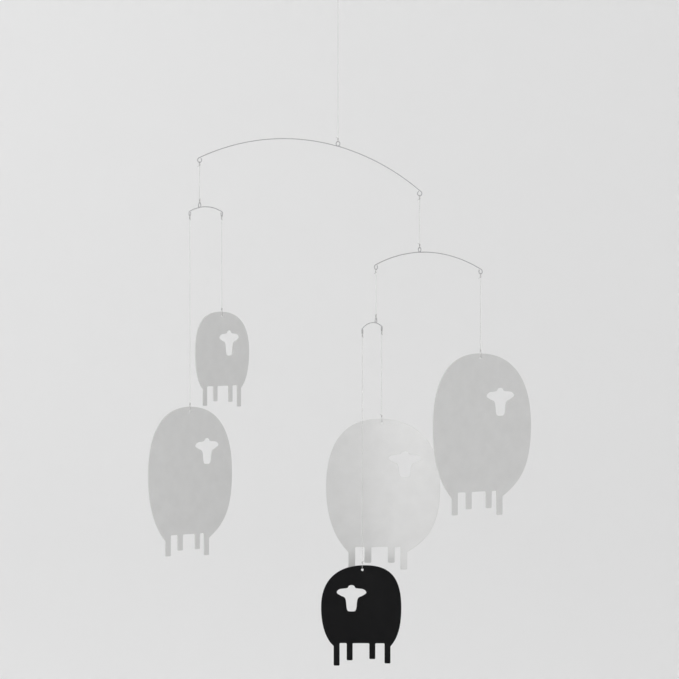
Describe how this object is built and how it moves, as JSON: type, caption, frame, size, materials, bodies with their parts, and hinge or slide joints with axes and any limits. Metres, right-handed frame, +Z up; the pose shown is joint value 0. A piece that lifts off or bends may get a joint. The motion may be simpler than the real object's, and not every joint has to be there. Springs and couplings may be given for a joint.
{
  "type": "hanging mobile",
  "caption": "Hanging mobile of flat sheep with cut-out heads, on threads from arched wire arms that balance and turn freely.",
  "frame": {"origin": "inside of the top of the hanging ring, where a hook carries it", "axes": "+Z up, along the top thread; +X to the right and -Y towards the viewer, as the mobile is seen in the picture"},
  "size_m": [0.3504, 0.304, 0.6357],
  "materials": {
    "steel_wire": "bright drawn spring wire, satin",
    "thread": "thin clear nylon thread",
    "pale_sheet": "smooth pale grey-white sheet, matt to satin",
    "black_sheet": "smooth black sheet, matt to satin"
  },
  "bodies": {
    "ring": {"hang_ring": "steel_wire"},
    "arm_top": {"arm_top": "steel_wire", "thread_arm_top": "thread"},
    "arm_left": {"arm_left": "steel_wire", "thread_arm_left": "thread"},
    "arm_right": {"arm_right": "steel_wire", "thread_arm_right": "thread"},
    "arm_lower": {"arm_lower": "steel_wire", "thread_arm_lower": "thread"},
    "sheep_large": {"sheep_large": "pale_sheet", "thread_sheep_large": "thread"},
    "sheep_left": {"sheep_left": "pale_sheet", "thread_sheep_left": "thread"},
    "sheep_middle": {"sheep_middle": "pale_sheet", "thread_sheep_middle": "thread"},
    "lamb_left": {"lamb_left": "pale_sheet", "thread_lamb_left": "thread"},
    "lamb_black": {"lamb_black": "black_sheet", "thread_lamb_black": "thread"}
  },
  "joints": [
    {"name": "turn_arm_top", "type": "hinge", "parent": "ring", "child": "arm_top", "pos_m": [0, 0, -0.1554], "axis": [0, 0, 1], "continuous": true, "deforming": ["thread_arm_top"]},
    {"name": "turn_arm_left", "type": "hinge", "parent": "arm_top", "child": "arm_left", "pos_m": [-0.12967, 0.07791, -0.21134], "axis": [0, 0, 1], "continuous": true, "deforming": ["thread_arm_left"]},
    {"name": "turn_arm_right", "type": "hinge", "parent": "arm_top", "child": "arm_right", "pos_m": [0.07401, -0.04447, -0.25305], "axis": [0, 0, 1], "continuous": true, "deforming": ["thread_arm_right"]},
    {"name": "turn_arm_lower", "type": "hinge", "parent": "arm_right", "child": "arm_lower", "pos_m": [0.03524, 0.00427, -0.31864], "axis": [0, 0, 1], "continuous": true, "deforming": ["thread_arm_lower"]},
    {"name": "turn_sheep_large", "type": "hinge", "parent": "arm_right", "child": "sheep_large", "pos_m": [0.12638, -0.11031, -0.35061], "axis": [0, 0, 1], "continuous": true, "deforming": ["thread_sheep_large"]},
    {"name": "turn_sheep_left", "type": "hinge", "parent": "arm_left", "child": "sheep_left", "pos_m": [-0.13823, 0.05373, -0.40591], "axis": [0, 0, 1], "continuous": true, "deforming": ["thread_sheep_left"]},
    {"name": "turn_lamb_left", "type": "hinge", "parent": "arm_left", "child": "lamb_left", "pos_m": [-0.10983, 0.13394, -0.31841], "axis": [0, 0, 1], "continuous": true, "deforming": ["thread_lamb_left"]},
    {"name": "turn_sheep_middle", "type": "hinge", "parent": "arm_lower", "child": "sheep_middle", "pos_m": [0.04115, 0.02987, -0.41622], "axis": [0, 0, 1], "continuous": true, "deforming": ["thread_sheep_middle"]},
    {"name": "turn_lamb_black", "type": "hinge", "parent": "arm_lower", "child": "lamb_black", "pos_m": [0.02155, -0.05501, -0.54572], "axis": [0, 0, 1], "continuous": true, "deforming": ["thread_lamb_black"]}
  ]
}
